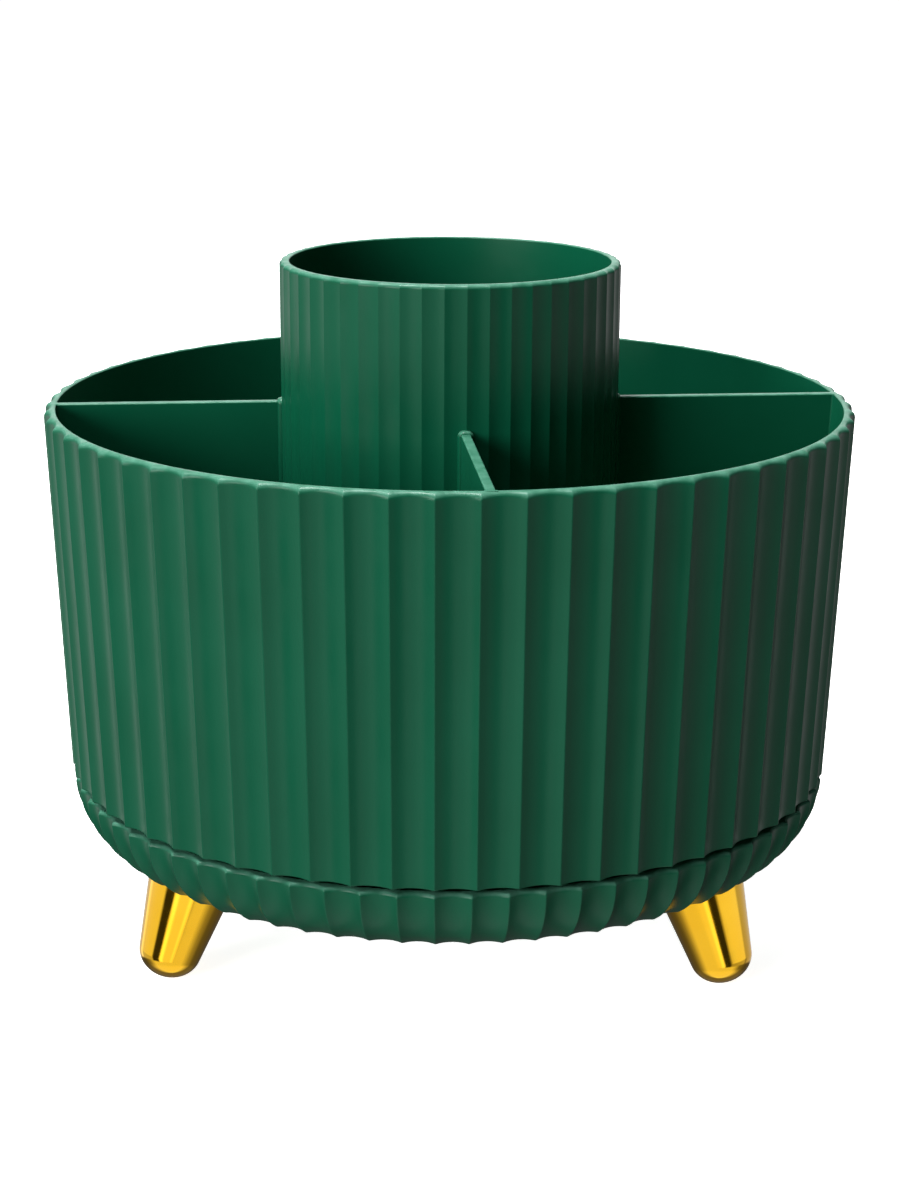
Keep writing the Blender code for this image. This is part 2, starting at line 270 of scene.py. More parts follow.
# Softboxes: turn, lift and distance from the target, then width, height and watts
light_target = (0, 0, 0.08)
softboxes = {
    "key_left": (-46, 15, 1.6, 1.0, 0.7, 22.5),
    "top_left": (-72, 80, 1.4, 0.3, 0.3, 26),
    "top_wide": (-75, 76, 1.4, 0.8, 1.2, 14),
    "top_back": (180, 48, 1.5, 1.6, 0.9, 5),
    "rim_back": (180, 14, 1.5, 1.6, 0.40, 3.2),
}

# What the object mirrors: brightness by turn in degrees, in bands one under another
studio_dark = 0.012
studio_strength = 1.6
studio_high = (
    (-180, 0.40), (-130, 0.40), (-126, 0.80), (-117, 0.80), (-112, 0.58), (-65, 0.58), (-59, 0.02),
    (-38, 0.02), (-33, 1.00), (-26, 1.00), (-20, 0.64), (1, 0.64), (6, 0.90), (12, 0.90), (17, 0.02),
    (34, 0.02), (42, 0.62), (95, 0.62), (103, 0.30), (180, 0.40),
)
studio_level = (
    (-180, 0.40), (-130, 0.40), (-126, 0.80), (-117, 0.80), (-112, 0.38), (-65, 0.38), (-59, 0.02),
    (-38, 0.02), (-33, 1.10), (-26, 1.10), (-20, 0.66), (1, 0.66), (6, 0.95), (12, 0.95), (17, 0.02),
    (34, 0.02), (42, 0.26), (95, 0.34), (99, 0.16), (103, 0.16), (108, 0.30), (180, 0.40),
)
studio_floor = (
    (-180, 0.05), (-110, 0.05), (-82, 0.14), (-55, 0.56), (48, 0.56), (76, 0.12), (110, 0.05), (180, 0.05),
)
studio_under = ((-180, 0.10), (-100, 0.10), (-60, 0.64), (60, 0.64), (100, 0.10), (180, 0.10))

# Each band begins and is full at these upward parts of a direction
studio_bands = (
    (0.00, -0.04, studio_high),
    (-0.22, -0.30, studio_level),
    (-0.45, -0.51, studio_floor),
    (-0.66, -0.80, studio_under),
)


def on_circle(radius, turn, height):
    return (radius * sin(turn), -radius * cos(turn), height)


def arc(centre, radius, start, end, steps):
    """Points along an arc of a profile. Its angles are in degrees, from outwards, with upwards positive."""
    angles = [radians(start + (end - start) * step / steps) for step in range(steps + 1)]
    return [(centre[0] + radius * cos(angle), centre[1] + radius * sin(angle)) for angle in angles]


def bulged(start, end, bulge, steps):
    """Points along the arc from start to end that stands out by bulge, with the arc's angle at its end."""
    middle = ((start[0] + end[0]) / 2, (start[1] + end[1]) / 2)
    half = hypot(end[0] - start[0], end[1] - start[1]) / 2
    radius = (half ** 2 + bulge ** 2) / (2 * bulge)
    outwards = atan2(start[0] - end[0], start[1] - end[1])
    reach = radius - bulge
    centre = (middle[0] - reach * cos(outwards), middle[1] + reach * sin(outwards))
    spread = degrees(asin(half / radius))
    level = -degrees(outwards)
    return arc(centre, radius, level + spread, level - spread, steps), level - spread


def eased(radius, height, start, end):
    """The small round of an edge, by its centre and its angles."""
    return arc((radius, height), small_round, start, end, small_round_steps)


def flute_pattern(radius, flutes, depth, crest_round, steps):
    """One hollow flute from crest to crest, as (share of the flute's width, depth under the crest)."""
    width = 2 * pi * radius / flutes
    centres_apart = (width ** 2 / 4 + depth ** 2) / (2 * depth)
    hollow = centres_apart - crest_round
    lean = acos(1 - depth / centres_apart)
    points = []
    for step in range(crest_steps):
        angle = lean * step / crest_steps
        points.append((crest_round * sin(angle), crest_round * (1 - cos(angle))))
    for step in range(steps + 1):
        angle = lean * (2 * step / steps - 1)
        points.append((width / 2 + hollow * sin(angle), depth - hollow * (1 - cos(angle))))
    for step in range(1, crest_steps):
        angle = lean * (1 - step / crest_steps)
        points.append((width - crest_round * sin(angle), crest_round * (1 - cos(angle))))
    return [(along / width, sink) for along, sink in points]


def ring(radius, height, flutes, pattern, fluted):
    """A ring of points, a column for each point of the pattern, with the flutes' depth times fluted."""
    points = []
    for flute in range(flutes):
        for share, sink in pattern:
            turn = 2 * pi * (flute + share) / flutes
            points.append(on_circle(radius - sink * fluted, turn, height))
    return points


def mesh_object(name, shape):
    bmesh.ops.recalc_face_normals(shape, faces=shape.faces)
    mesh = bpy.data.meshes.new(name)
    shape.to_mesh(mesh)
    shape.free()
    made = bpy.data.objects.new(name, mesh)
    bpy.context.scene.collection.objects.link(made)
    return made


def lofted(name, rings, closed=False):
    """A body through like rings of points, capped at both ends, or closed on itself."""
    shape = bmesh.new()
    rows = [[shape.verts.new(point) for point in points] for points in rings]
    pairs = list(zip(rows, rows[1:]))
    if closed:
        pairs.append((rows[-1], rows[0]))
    for lower, upper in pairs:
        for step in range(len(lower)):
            shape.faces.new((lower[step - 1], lower[step], upper[step], upper[step - 1]))
    if not closed:
        shape.faces.new(reversed(rows[0]))
        shape.faces.new(rows[-1])
    return mesh_object(name, shape)


def turned(name, profile, steps=round_steps, closed=False):
    """A profile of (radius, height) points turned about the axis. A radius of zero ends it in a pole."""
    shape = bmesh.new()
    rows = []
    for radius, height in profile:
        if radius == 0:
            rows.append([shape.verts.new((0, 0, height))])
        else:
            turns = [2 * pi * step / steps for step in range(steps)]
            rows.append([shape.verts.new(on_circle(radius, turn, height)) for turn in turns])
    pairs = list(zip(rows, rows[1:]))
    if closed:
        pairs.append((rows[-1], rows[0]))
    for lower, upper in pairs:
        for step in range(steps):
            corners = [lower[step - 1], lower[step]] if len(lower) > 1 else [lower[0]]
            corners += [upper[step], upper[step - 1]] if len(upper) > 1 else [upper[0]]
            shape.faces.new(corners)
    return mesh_object(name, shape)


def upright(name, radius, low, high, circle_radius, turn, steps=thin_round_steps):
    """An upright cylinder from low to high, at a turn on a circle about the axis."""
    made = turned(name, [(0, low), (radius, low), (radius, high), (0, high)], steps)
    made.data.transform(Matrix.Translation(on_circle(circle_radius, turn, 0)))
    return made


def slab(name, reach, low, high):
    """A block from low to high that reaches as far as this from the axis."""
    shape = bmesh.new()
    bmesh.ops.create_cube(shape, size=1)
    bmesh.ops.scale(shape, verts=shape.verts, vec=(2 * reach, 2 * reach, high - low))
    bmesh.ops.translate(shape, verts=shape.verts, vec=(0, 0, (low + high) / 2))
    return mesh_object(name, shape)


def combined(piece, steps):
    """The piece after Boolean steps, each an (operation, tool), with the tools removed."""
    for operation, tool in steps:
        boolean = piece.modifiers.new(tool.name, "BOOLEAN")
        boolean.operation = operation
        boolean.object = tool
    bpy.context.view_layer.update()
    evaluated = piece.evaluated_get(bpy.context.evaluated_depsgraph_get())
    mesh = bpy.data.meshes.new_from_object(evaluated)
    piece.modifiers.clear()
    piece.data = mesh
    mesh.name = piece.name
    for _, tool in steps:
        bpy.data.objects.remove(tool)
    return piece


def finished(piece, body, slot, material, *nodes):
    """Shades the piece smooth between its edges, and sets it on its body in place of the CAD nodes."""
    piece.data.materials.clear()
    piece.data.materials.append(material)
    piece.data.shade_smooth()
    piece.data.set_sharp_from_angle(angle=sharp_angle)
    even = piece.modifiers.new("Even shading", "WEIGHTED_NORMAL")
    even.keep_sharp = True
    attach(piece, body)
    if nodes:
        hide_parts(*nodes)
    return piece


def drum_bore(height):
    """Radius of the drum's smooth inside at a height. It widens upwards as the outside does."""
    share = (height - drum_base) / drum_height
    return drum_foot_radius + share * (drum_rim_radius - drum_foot_radius) - drum_wall


def vessel_inside(mouth, foot, rim):
    """The inside of the drum or the cup, as the round of its mouth and the round at its floor."""
    profile = arc((mouth + mouth_round, rim - mouth_round), mouth_round, 90, 180, mouth_steps)
    corner = (foot - corner_round, drum_floor_top + corner_round)
    return profile + arc(corner, corner_round, 0, -90, corner_steps)


def drum_shell():
    """The drum's wall and floor. Its flutes fade a little over the round of the rim."""
    pattern = flute_pattern(drum_rim_radius, drum_flutes, drum_flute_depth, drum_crest_round, hollow_steps)
    foot_centre = (drum_foot_radius - drum_foot_round, drum_base + drum_foot_round)
    rim_centre = (drum_rim_radius - drum_edge_round, drum_rim - drum_edge_round)
    outside = arc(foot_centre, drum_foot_round, -90, 0, foot_edge_steps)
    outside += arc(rim_centre, drum_edge_round, 0, 90, drum_edge_steps)
    inside = vessel_inside(drum_bore(drum_rim), drum_bore(drum_floor_top), drum_rim)
    rings = []
    for radius, height in outside:
        climb = max(0, height - rim_centre[1]) / drum_edge_round
        rings.append(ring(radius, height, drum_flutes, pattern, 1 - (1 - drum_edge_flute_share) * climb))
    rings += [ring(radius, height, drum_flutes, pattern, 0) for radius, height in inside]
    return lofted("compartment_drum_moulding", rings)


def cup_tube():
    """The cup's wall, with a ring just over the dividers that keeps its shading clear of their joints."""
    pattern = flute_pattern(cup_radius, cup_flutes, cup_flute_depth, cup_crest_round, cup_hollow_steps)
    bore = cup_radius - cup_wall
    rim_centre = (cup_radius - cup_edge_round, cup_rim - cup_edge_round)
    outside = [(cup_radius, drum_floor_top - join_depth), (cup_radius, drum_rim + cup_fillet_clear)]
    outside += arc(rim_centre, cup_edge_round, 0, 90, thin_edge_steps)
    inside = vessel_inside(bore, bore, cup_rim) + [(bore - corner_round, drum_floor_top - join_depth)]
    rings = [ring(radius, height, cup_flutes, pattern, 1) for radius, height in outside]
    rings += [ring(radius, height, cup_flutes, pattern, 0) for radius, height in inside]
    return lofted("cup_tube", rings, closed=True)


def divider_section(half, top, edge, along_of, turn):
    """An upright section of a divider with a rounded top. along_of gives its distance out at a height."""
    right = arc((half - edge, top - edge), edge, 0, 90, divider_top_steps)
    outline = [(half, drum_floor_top - join_depth)] + right
    outline += [(-across, height) for across, height in reversed(outline)]
    points = []
    for across, height in outline:
        along = along_of(height)
        x = along * sin(turn) + across * cos(turn)
        y = across * sin(turn) - along * cos(turn)
        points.append((x, y, height))
    return points


def divider(index):
    """A plate between cup and wall, with a rounded nub at the cup and sides that swell into the wall."""
    turn = divider_turn + 2 * pi * index / divider_count
    half = divider_thickness / 2
    cup_face = cup_radius - cup_flute_depth
    swells = [(divider_end_swell, cup_face - join_depth)]
    for step in range(divider_nub_steps + 1):
        angle = pi / 2 * step / divider_nub_steps
        swells.append((divider_end_swell * cos(angle), cup_face + divider_end_reach * sin(angle)))
    sections = []
    for swell, along in swells:
        edge = divider_edge_round + divider_round_share * swell
        sections.append((half + swell, drum_rim + swell, edge, lambda height, along=along: along))
    fillets = []
    for step in range(divider_fillet_steps + 1):
        angle = pi / 2 * step / divider_fillet_steps
        fillets.append((divider_wall_fillet * (1 - cos(angle)), -divider_wall_fillet * (1 - sin(angle))))
    fillets.append((divider_wall_fillet, 2 * join_depth))
    for swell, past in fillets:
        sections.append(
            (half + swell, drum_rim, divider_edge_round, lambda height, past=past: drum_bore(height) + past)
        )
    rings = [divider_section(*section, turn) for section in sections]
    return lofted(f"divider_{index + 1}", rings)


def upper_track():
    """The ring under the drum's floor, with the groove that runs on the balls."""
    face = ball_height + track_face_gap
    lean = degrees(asin(track_face_gap / groove_radius))
    foot = drum_base + join_depth
    profile = [(track_radius + track_reach, foot), (track_radius + track_reach, face)]
    profile += arc((track_radius, ball_height), groove_radius, lean, 180 - lean, track_steps)
    profile += [(track_radius - track_reach, face), (track_radius - track_reach, foot)]
    return turned("upper_track", profile, closed=True)


def lower_track():
    """The ring on the tray's floor, with the groove that the balls run in."""
    face = ball_height - track_face_gap
    lean = degrees(asin(track_face_gap / groove_radius))
    foot = tray_floor_top - join_depth
    profile = [(track_radius + track_reach, face), (track_radius + track_reach, foot)]
    profile += [(track_radius - track_reach, foot), (track_radius - track_reach, face)]
    profile += arc((track_radius, ball_height), groove_radius, lean - 180, -lean, track_steps)
    return turned("lower_track", profile, closed=True)


def hub():
    """The peg under the drum that turns in the tray's sleeve, with a pilot hole for the pivot screw."""
    pilot_radius = pivot_shank_radius + seat_gap
    pilot_top = hub_bottom + pivot_bite + hole_spare
    profile = [(0, drum_base + join_depth), (hub_radius, drum_base + join_depth)]
    profile += eased(hub_radius - small_round, hub_bottom + small_round, 0, -90)
    profile += [(pilot_radius + small_round, hub_bottom), (pilot_radius, hub_bottom + small_round)]
    profile += [(pilot_radius, pilot_top), (0, pilot_top)]
    return turned("hub", profile)


def drum_moulding(material):
    steps = [("UNION", cup_tube())]
    steps += [("UNION", divider(index)) for index in range(divider_count)]
    steps += [("UNION", upper_track()), ("UNION", hub())]
    piece = combined(drum_shell(), steps)
    return finished(piece, "drum", "drum_green_plastic", material, "compartment_drum")


def tray_shell():
    """The tray's floor and its side, which curves in towards the floor."""
    pattern = flute_pattern(tray_rim_radius, tray_flutes, tray_flute_depth, tray_crest_round, hollow_steps)
    turn_point = (tray_turn_radius, tray_underside + tray_turn_height)
    rim_point = (tray_rim_radius, tray_rim - tray_edge_round)
    side, lean = bulged(rim_point, turn_point, tray_side_bulge, tray_side_steps)
    foot_round = tray_turn_height / (1 + sin(radians(lean)))
    foot_centre = (tray_turn_radius - foot_round * cos(radians(lean)), tray_underside + foot_round)
    outside = arc(foot_centre, foot_round, -90, lean, tray_foot_steps) + side[-2:0:-1]
    rim_centre = (tray_rim_radius - tray_edge_round, tray_rim - tray_edge_round)
    outside += arc(rim_centre, tray_edge_round, 0, 90, thin_edge_steps)
    mouth = (tray_rim_radius - tray_wall, tray_rim)
    foot = (tray_turn_radius - tray_wall, tray_floor_top)
    inside, _ = bulged(mouth, foot, tray_side_bulge, tray_side_steps)
    rings = [ring(radius, height, tray_flutes, pattern, 1) for radius, height in outside]
    rings += [ring(radius, height, tray_flutes, pattern, 0) for radius, height in inside]
    return lofted("base_tray_moulding", rings)


def pivot_seat_ring():
    """The sleeve for the drum's hub and the pad under it, in the middle of the tray."""
    pad_radius = recess_radius + recess_wall
    pad_top = recess_ceiling + pad_thickness
    pad_foot = tray_underside + join_depth
    sleeve_radius = bore_radius + sleeve_wall
    sleeve_top = tray_floor_top + sleeve_height
    profile = [(0, sleeve_top)] + eased(sleeve_radius - small_round, sleeve_top - small_round, 90, 0)
    profile += [(sleeve_radius, pad_top), (pad_radius, pad_top), (pad_radius, pad_foot), (0, pad_foot)]
    return turned("pivot_seat_ring", profile)


def pivot_bore():
    """The hollow of the sleeve, and below it the recess for washer and screw."""
    top = tray_floor_top + sleeve_height + overrun
    low = tray_underside - overrun
    mouth = recess_radius + small_round
    profile = [(0, top), (bore_radius, top), (bore_radius, recess_ceiling), (recess_radius, recess_ceiling)]
    profile += eased(mouth, tray_underside + small_round, 180, 270) + [(mouth, low), (0, low)]
    return turned("pivot_bore", profile)


def foot_shape(name, grow, turn):
    """A tapered leg with a domed end, leaning outwards, longer than it will be at its top."""
    radius = foot_tip_radius + grow
    depth = foot_tip_depth + grow
    length = (foot_top + overrun - foot_centre_height) / cos(foot_splay) + radius * tan(foot_splay)
    start = atan2(depth * tan(foot_flare), radius)
    angles = [start + (pi / 2 - start) * step / foot_dome_steps for step in range(foot_dome_steps)]
    dome = [(radius * cos(angle), -depth * sin(angle)) for angle in angles]
    top_radius = dome[0][0] + (length - dome[0][1]) * tan(foot_flare)
    made = turned(name, [(0, length), (top_radius, length)] + dome + [(0, -depth)], foot_round_steps)
    place = Matrix.Translation(on_circle(foot_circle_radius, turn, foot_centre_height))
    lean_out = Matrix.Rotation(turn, 4, "Z") @ Matrix.Rotation(-foot_splay, 4, "X")
    made.data.transform(place @ lean_out)
    return made


def tray_moulding(material):
    steps = [("UNION", lower_track()), ("UNION", pivot_seat_ring()), ("DIFFERENCE", pivot_bore())]
    hole_radius = foot_shank_radius + seat_gap
    boss_foot = tray_floor_top - join_depth
    for side, turn in foot_turns.items():
        socket = foot_shape(f"socket_{side}", seat_gap, turn)
        keep = slab(f"socket_slab_{side}", tray_rim_radius, tray_underside - overrun, foot_top + seat_gap)
        socket = combined(socket, [("INTERSECT", keep)])
        spot = (foot_screw_radius, turn)
        boss = upright(f"boss_{side}", boss_radius, boss_foot, boss_top, *spot)
        hole = upright(f"hole_{side}", hole_radius, tray_underside, boss_top + overrun, *spot)
        steps += [("UNION", boss), ("DIFFERENCE", socket), ("DIFFERENCE", hole)]
    piece = combined(tray_shell(), steps)
    return finished(piece, "base", "tray_green_plastic", material, "base_tray")


def plated_foot(side, turn, material):
    radius = foot_shank_radius + seat_gap
    low = foot_top - screw_bite - hole_spare
    keep = slab(f"foot_slab_{side}", tray_rim_radius, 0, foot_top)
    pilot = upright(f"foot_pilot_{side}", radius, low, foot_top + overrun, foot_screw_radius, turn)
    piece = foot_shape(f"foot_{side}_plated", 0, turn)
    piece = combined(piece, [("INTERSECT", keep), ("DIFFERENCE", pilot)])
    return finished(piece, "base", "gold_plating", material, f"foot_{side}")


def cross_recess(name, head_radius, head_height):
    """The cross cut in a screw's head, over a screw whose head stands on height 0."""
    arm = cross_reach_share * head_radius
    half = cross_width_share * head_radius / 2
    corner = [(arm, -half), (arm, half), (half, half)]
    plan = []
    for quarter in range(4):
        turn = pi / 2 * quarter
        plan += [(x * cos(turn) - y * sin(turn), x * sin(turn) + y * cos(turn)) for x, y in corner]
    low = (1 - cross_depth_share) * head_height
    rings = [[(x * cross_floor_share, y * cross_floor_share, low) for x, y in plan]]
    rings += [[(x, y, height) for x, y in plan] for height in (head_height, head_height + overrun)]
    return lofted(name, rings)


def pan_screw(name, head_radius, head_height, shank_radius, length, place, body, node, material):
    """A pan-head screw with a cross recess, its head above height 0 and its threaded shank below."""
    profile = [(0, head_height)]
    for step in range(1, screw_head_steps + 1):
        angle = pi / 2 * step / screw_head_steps
        rise = head_side_share + (1 - head_side_share) * cos(angle)
        profile.append((head_radius * sin(angle), head_height * rise))
    profile += [(head_radius, small_round), (head_radius - small_round, 0), (shank_radius, 0)]
    bends = int(length / (shank_radius / thread_rate))
    for index in range(1, bends):
        share = thread_root_share if index % 2 else 1
        profile.append((shank_radius * share, -length * index / bends))
    profile += [(shank_radius * screw_tip_share, -length), (0, -length)]
    cross = cross_recess(f"{name}_cross", head_radius, head_height)
    made = combined(turned(name, profile, thin_round_steps), [("DIFFERENCE", cross)])
    made.data.transform(place)
    return finished(made, body, "screw_zinc", material, node)


def foot_screw(side, turn, material):
    """The screw that goes down through its boss on the tray's floor into the foot."""
    node = f"foot_screw_{side}"
    low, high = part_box(node)
    head = (high.y - low.y) / 2
    seat = boss_top + seat_gap
    place = Matrix.Translation(on_circle(foot_screw_radius, turn, seat))
    size = (head, foot_head_height, foot_shank_radius, seat - (foot_top - screw_bite))
    return pan_screw(f"{node}_zinc", *size, place, "base", node, material)


def pivot_screw(material):
    """The screw that goes up through the washer into the drum's hub."""
    head = (screw_high.y - screw_low.y) / 2
    seat = screw_low.z + pivot_head_height
    place = Matrix.Translation((0, 0, seat)) @ Matrix.Rotation(pi, 4, "X")
    size = (head, pivot_head_height, pivot_shank_radius, screw_high.z - seat)
    return pan_screw("pivot_screw_zinc", *size, place, "drum", "pivot_screw", material)


def flat_ring(name, bore, outer, low, high):
    """A flat ring about the axis with its four edges eased."""
    profile = eased(outer - small_round, high - small_round, 90, 0)
    profile += eased(outer - small_round, low + small_round, 0, -90)
    profile += eased(bore + small_round, low + small_round, 270, 180)
    profile += eased(bore + small_round, high - small_round, 180, 90)
    return turned(name, profile, closed=True)


def washer(material):
    bore = pivot_shank_radius + seat_gap
    piece = flat_ring("pivot_washer_steel", bore, washer_high.x, washer_low.z, washer_high.z)
    return finished(piece, "drum", "screw_zinc", material, "pivot_washer")


def ball_cage(material):
    """The ring that keeps the balls apart, with a pocket for each."""
    cage = flat_ring("ball_cage_ring", 2 * track_radius - cage_high.x, cage_high.x, cage_low.z, cage_high.z)
    size = (ball_radius + seat_gap, cage_low.z - overrun, cage_high.z + overrun)
    steps = []
    for index in range(ball_count):
        turn = 2 * pi * index / ball_count
        pocket = upright(f"pocket_{index + 1}", *size, track_radius, turn, pocket_round_steps)
        steps.append(("DIFFERENCE", pocket))
    return finished(combined(cage, steps), "cage", "cage_white_plastic", material, "ball_cage")


def steel_ball(index, material):
    name = f"ball_{index + 1:02d}"
    side = arc((0, 0), ball_radius, ball_side_reach, -ball_side_reach, ball_side_steps)
    made = turned(f"{name}_steel", [(0, ball_radius)] + side + [(0, -ball_radius)], ball_round_steps)
    place = on_circle(track_radius, 2 * pi * index / ball_count, ball_height)
    made.data.transform(Matrix.Translation(place))
    return finished(made, "cage", "ball_steel", material, name)


def new_material(name):
    """A new material, with its nodes, its links and its shader."""
    made = bpy.data.materials.new(name)
    made.use_nodes = True
    tree = made.node_tree
    return made, tree.nodes, tree.links, tree.nodes["Principled BSDF"]


def noise(nodes, links, coordinates, scale, detail, roughness=0.5):
    """Noise of a scale. Its detail counts the finer layers in it, and its roughness is their share."""
    texture = nodes.new("ShaderNodeTexNoise")
    texture.inputs["Scale"].default_value = scale
    texture.inputs["Detail"].default_value = detail
    texture.inputs["Roughness"].default_value = roughness
    links.new(coordinates, texture.inputs["Vector"])
    return texture.outputs["Fac"]


def ranged(nodes, links, value, low, high, start=0.0, end=1.0):
    """A value that runs from low to high while the given one runs from start to end."""
    spread = nodes.new("ShaderNodeMapRange")
    spread.inputs["From Min"].default_value = start
    spread.inputs["From Max"].default_value = end
    spread.inputs["To Min"].default_value = low
    spread.inputs["To Max"].default_value = high
    links.new(value, spread.inputs["Value"])
    return spread.outputs["Result"]


def height_of(nodes, links, vector):
    apart = nodes.new("ShaderNodeSeparateXYZ")
    links.new(vector, apart.inputs[0])
    return apart.outputs["Z"]


def computed(nodes, links, operation, first, second):
    """What a Math node makes of two values, each a socket or a number."""
    made = nodes.new("ShaderNodeMath")
    made.operation = operation
    for socket, value in zip(made.inputs, (first, second)):
        if isinstance(value, (int, float)):
            socket.default_value = value
        else:
            links.new(value, socket)
    return made.outputs["Value"]


def mixed(nodes, links, share, first, second):
    """A mix of two colours, each a socket or a tuple. A Mix node has them at inputs 6 and 7, output 2."""
    blend = nodes.new("ShaderNodeMix")
    blend.data_type = "RGBA"
    links.new(share, blend.inputs["Factor"])
    for socket, colour in ((blend.inputs[6], first), (blend.inputs[7], second)):
        if isinstance(colour, tuple):
            socket.default_value = (*colour, 1)
        else:
            links.new(colour, socket)
    return blend.outputs[2]


def bumped(nodes, links, shader, height, distance, strength):
    """Gives the shader a fine relief."""
    bump = nodes.new("ShaderNodeBump")
    bump.inputs["Distance"].default_value = distance
    bump.inputs["Strength"].default_value = strength
    links.new(height, bump.inputs["Height"])
    links.new(bump.outputs["Normal"], shader.inputs["Normal"])


def green_plastic(name, rim):
    """Satin moulded plastic: fine grain, faint cloudiness, and the rims' upward faces paler, partly as wear
    from rubbing by hands and partly as a painted highlight.
    """
    made, nodes, links, shader = new_material(name)
    place = nodes.new("ShaderNodeTexCoord").outputs["Object"]
    cloud = noise(nodes, links, place, *green_cloud)
    body = mixed(nodes, links, ranged(nodes, links, cloud, 0, 1, *noise_middle), green_deep, green_light)
    # Upward faces near the rim turn paler green in patches: partly wear, partly a painted highlight.
    upwards = height_of(nodes, links, nodes.new("ShaderNodeNewGeometry").outputs["Normal"])
    upwards = ranged(nodes, links, upwards, 0, 1, *rub_highlight_slope)
    on_rim = ranged(nodes, links, height_of(nodes, links, place), 0, 1, rim - rub_highlight_reach, rim - rub_highlight_reach / 2)
    patches = noise(nodes, links, place, *rub_highlight_patches)
    patchy = ranged(nodes, links, patches, *rub_highlight_patch_share, *rub_highlight_patch_noise)
    rubbed_highlight = computed(nodes, links, "MULTIPLY", upwards, on_rim)
    rubbed_highlight = computed(nodes, links, "MULTIPLY", rubbed_highlight, patchy)
    links.new(mixed(nodes, links, rubbed_highlight, body, green_worn_highlight), shader.inputs["Base Color"])
    smudge = noise(nodes, links, place, *green_smudge)
    rough = ranged(nodes, links, smudge, *green_roughness, *noise_middle)
    links.new(rough, shader.inputs["Roughness"])
    shader.inputs["Specular IOR Level"].default_value = green_specular
    bumped(nodes, links, shader, noise(nodes, links, place, *green_grain), *plastic_relief)
    return made


def gold_plating():
    """Bright plating over moulded plastic, with the moulding's slight ripple and fine handling marks."""
    made, nodes, links, shader = new_material("gold_plating_finish")
    place = nodes.new("ShaderNodeTexCoord").outputs["Object"]
    tone = ranged(nodes, links, noise(nodes, links, place, *gold_tone), 0, 1, *noise_middle)
    links.new(mixed(nodes, links, tone, gold_deep, gold_light), shader.inputs["Base Color"])
    shader.inputs["Metallic"].default_value = 1
    haze = noise(nodes, links, place, *gold_haze)
    rough = ranged(nodes, links, haze, *gold_roughness, *gold_haze_noise)
    links.new(rough, shader.inputs["Roughness"])
    shader.inputs["Coat Weight"].default_value = gold_coat
    shader.inputs["Coat Roughness"].default_value = gold_coat_roughness
    bumped(nodes, links, shader, noise(nodes, links, place, *gold_ripple), *gold_relief)
    return made


def metal(name, dark, light, roughness, pattern, grain):
    """A metal whose tone and roughness vary, with fine machining marks."""
    made, nodes, links, shader = new_material(name)
    place = nodes.new("ShaderNodeTexCoord").outputs["Object"]
    tone = noise(nodes, links, place, *pattern)
    links.new(mixed(nodes, links, tone, dark, light), shader.inputs["Base Color"])
    shader.inputs["Metallic"].default_value = 1
    links.new(ranged(nodes, links, tone, *roughness, *noise_middle), shader.inputs["Roughness"])
    bumped(nodes, links, shader, noise(nodes, links, place, *grain), *metal_relief)
    return made


def cage_plastic():
    """Off-white moulded plastic with a fine grain."""
    made, nodes, links, shader = new_material("cage_white_finish")
    place = nodes.new("ShaderNodeTexCoord").outputs["Object"]
    tone = noise(nodes, links, place, *cage_tone)
    links.new(mixed(nodes, links, tone, cage_deep, cage_light), shader.inputs["Base Color"])
    links.new(ranged(nodes, links, tone, *cage_roughness, *noise_middle), shader.inputs["Roughness"])
    bumped(nodes, links, shader, noise(nodes, links, place, *cage_grain), *plastic_relief)
    return made


def add_floor():
    """A pale floor whose glow is painted light, a little brighter away from the object, so that it fades to
    white.
    """
    shape = bmesh.new()
    bmesh.ops.create_grid(shape, x_segments=1, y_segments=1, size=floor_reach)
    floor = mesh_object("floor", shape)
    made, nodes, links, shader = new_material("pale_floor")
    shader.inputs["Base Color"].default_value = (*floor_tone, 1)
    shader.inputs["Roughness"].default_value = floor_roughness
    shader.inputs["Specular IOR Level"].default_value = floor_specular
    shader.inputs["Emission Color"].default_value = (1, 1, 1, 1)
    # The emission is painted light: the floor glows white, a little less near the object.
    away = nodes.new("ShaderNodeVectorMath")
    away.operation = "LENGTH"
    links.new(nodes.new("ShaderNodeTexCoord").outputs["Object"], away.inputs[0])
    glow = ranged(nodes, links, away.outputs["Value"], *floor_glow, *floor_glow_distances)
    links.new(glow, shader.inputs["Emission Strength"])
    floor.data.materials.append(made)
    floor.visible_diffuse = False
    floor.visible_glossy = False


def around(turn, lift, distance):
    """A place about the target, by its turn from the front, its lift over the horizon and its distance."""
    turn = radians(turn)
    lift = radians(lift)
    level = distance * cos(lift)
    return (level * sin(turn), -level * cos(turn), light_target[2] + distance * sin(lift))


def softbox(name, place, width, height, power):
    data = bpy.data.lights.new(name, "AREA")
    data.shape = "RECTANGLE"
    data.size = width
    data.size_y = height
    data.energy = power
    lamp = bpy.data.objects.new(name, data)
    bpy.context.scene.collection.objects.link(lamp)
    lamp.location = place
    lamp.rotation_euler = (Vector(light_target) - Vector(place)).to_track_quat("-Z", "Y").to_euler()


def ramped(nodes, links, value, stops):
    """A ramp through (turn in degrees, brightness) stops, for a value that runs from 0 to 1 once around."""
    ramp = nodes.new("ShaderNodeValToRGB")
    elements = ramp.color_ramp.elements
    elements.remove(elements[1])
    elements[0].position = 0
    elements[0].color = (stops[0][1], stops[0][1], stops[0][1], 1)
    for turn, bright in stops[1:]:
        element = elements.new((turn + 180) / 360)
        element.color = (bright, bright, bright, 1)
    links.new(value, ramp.inputs["Fac"])
    return ramp.outputs["Color"]


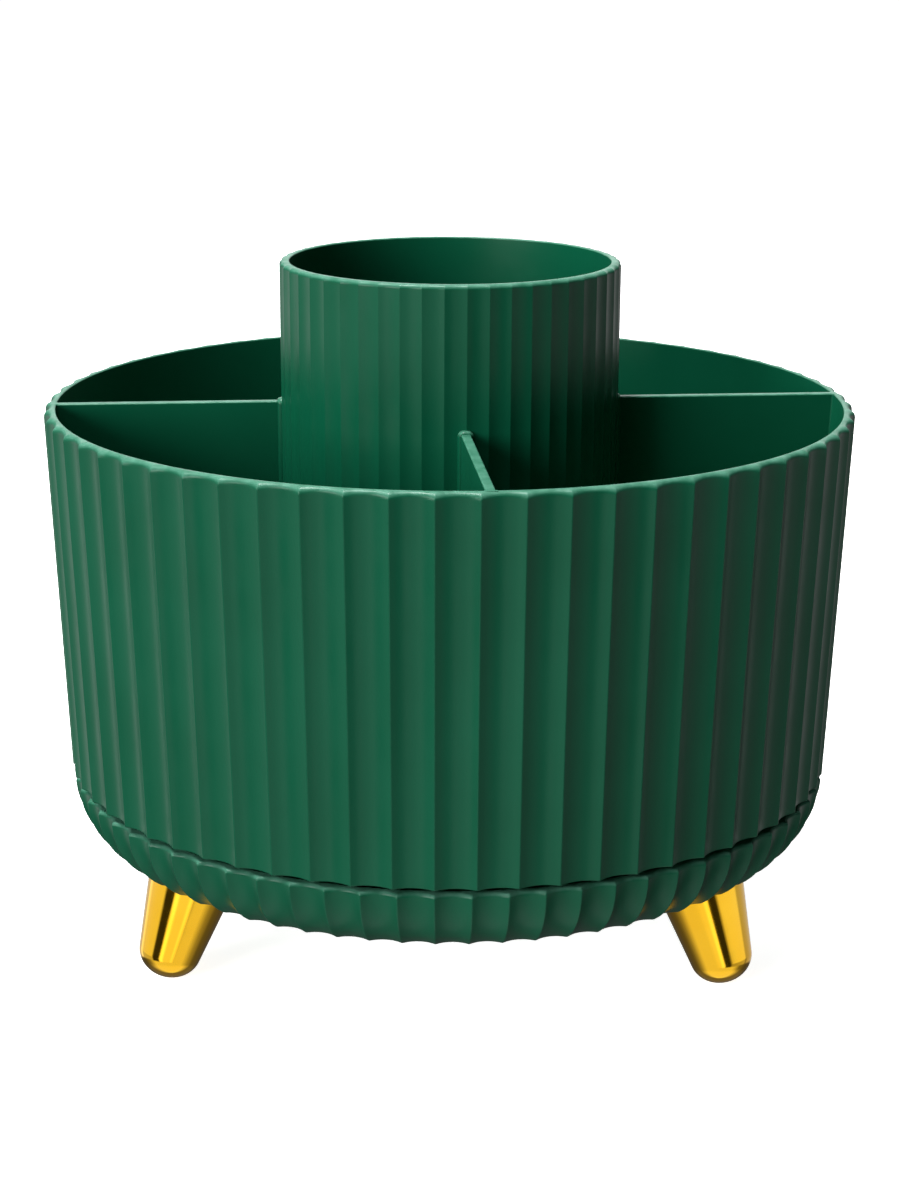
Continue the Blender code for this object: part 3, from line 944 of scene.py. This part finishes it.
def studio_world():
    """What the object mirrors: dark above, then bands of panels and of pale floor. The camera sees white."""
    world = bpy.data.worlds.new("studio")
    bpy.context.scene.world = world
    world.use_nodes = True
    nodes = world.node_tree.nodes
    links = world.node_tree.links
    apart = nodes.new("ShaderNodeSeparateXYZ")
    links.new(nodes.new("ShaderNodeTexCoord").outputs["Generated"], apart.inputs[0])
    forward = computed(nodes, links, "MULTIPLY", apart.outputs["Y"], -1)
    turn = computed(nodes, links, "ARCTAN2", apart.outputs["X"], forward)
    share = ranged(nodes, links, turn, 0, 1, -pi, pi)
    seen = (studio_dark, studio_dark, studio_dark)
    for start, end, stops in studio_bands:
        entered = ranged(nodes, links, apart.outputs["Z"], 0, 1, start, end)
        seen = mixed(nodes, links, entered, seen, ramped(nodes, links, share, stops))
    mirrored = nodes["Background"]
    mirrored.inputs["Strength"].default_value = studio_strength
    links.new(seen, mirrored.inputs["Color"])
    backdrop = nodes.new("ShaderNodeBackground")
    backdrop.inputs["Color"].default_value = (1, 1, 1, 1)
    either = nodes.new("ShaderNodeMixShader")
    links.new(nodes.new("ShaderNodeLightPath").outputs["Is Camera Ray"], either.inputs[0])
    links.new(mirrored.outputs[0], either.inputs[1])
    links.new(backdrop.outputs[0], either.inputs[2])
    links.new(either.outputs[0], nodes["World Output"].inputs["Surface"])


def add_lights():
    for name, (turn, lift, distance, width, height, power) in softboxes.items():
        softbox(name, around(turn, lift, distance), width, height, power)
    studio_world()


def add_camera():
    """The camera, turned about the axis as a whole from its place in front."""
    data = bpy.data.cameras.new("camera")
    data.lens = camera_lens
    data.sensor_width = camera_sensor
    camera = bpy.data.objects.new("camera", data)
    bpy.context.scene.collection.objects.link(camera)
    round_axis = Matrix.Rotation(camera_turn, 4, "Z")
    place = Matrix.Translation((camera_aside, -camera_distance, camera_height))
    tilt = Matrix.Rotation(pi / 2 - camera_pitch, 4, "X") @ Matrix.Rotation(camera_roll, 4, "Z")
    camera.matrix_world = round_axis @ place @ tilt
    bpy.context.scene.camera = camera
    bpy.context.scene.view_settings.view_transform = "Standard"


drum_green = green_plastic("drum_green_finish", drum_rim)
tray_green = green_plastic("tray_green_finish", tray_rim)
gold = gold_plating()
zinc = metal("screw_zinc_finish", zinc_dark, zinc_light, zinc_roughness, zinc_tone, zinc_grain)
steel = metal("ball_steel_finish", steel_dark, steel_light, steel_roughness, steel_tone, steel_grain)
white = cage_plastic()

drum_moulding(drum_green)
tray_moulding(tray_green)
for foot_side, foot_turn in foot_turns.items():
    plated_foot(foot_side, foot_turn, gold)
    foot_screw(foot_side, foot_turn, zinc)
pivot_screw(zinc)
washer(zinc)
ball_cage(white)
for ball in range(ball_count):
    steel_ball(ball, steel)
add_floor()
add_lights()
add_camera()
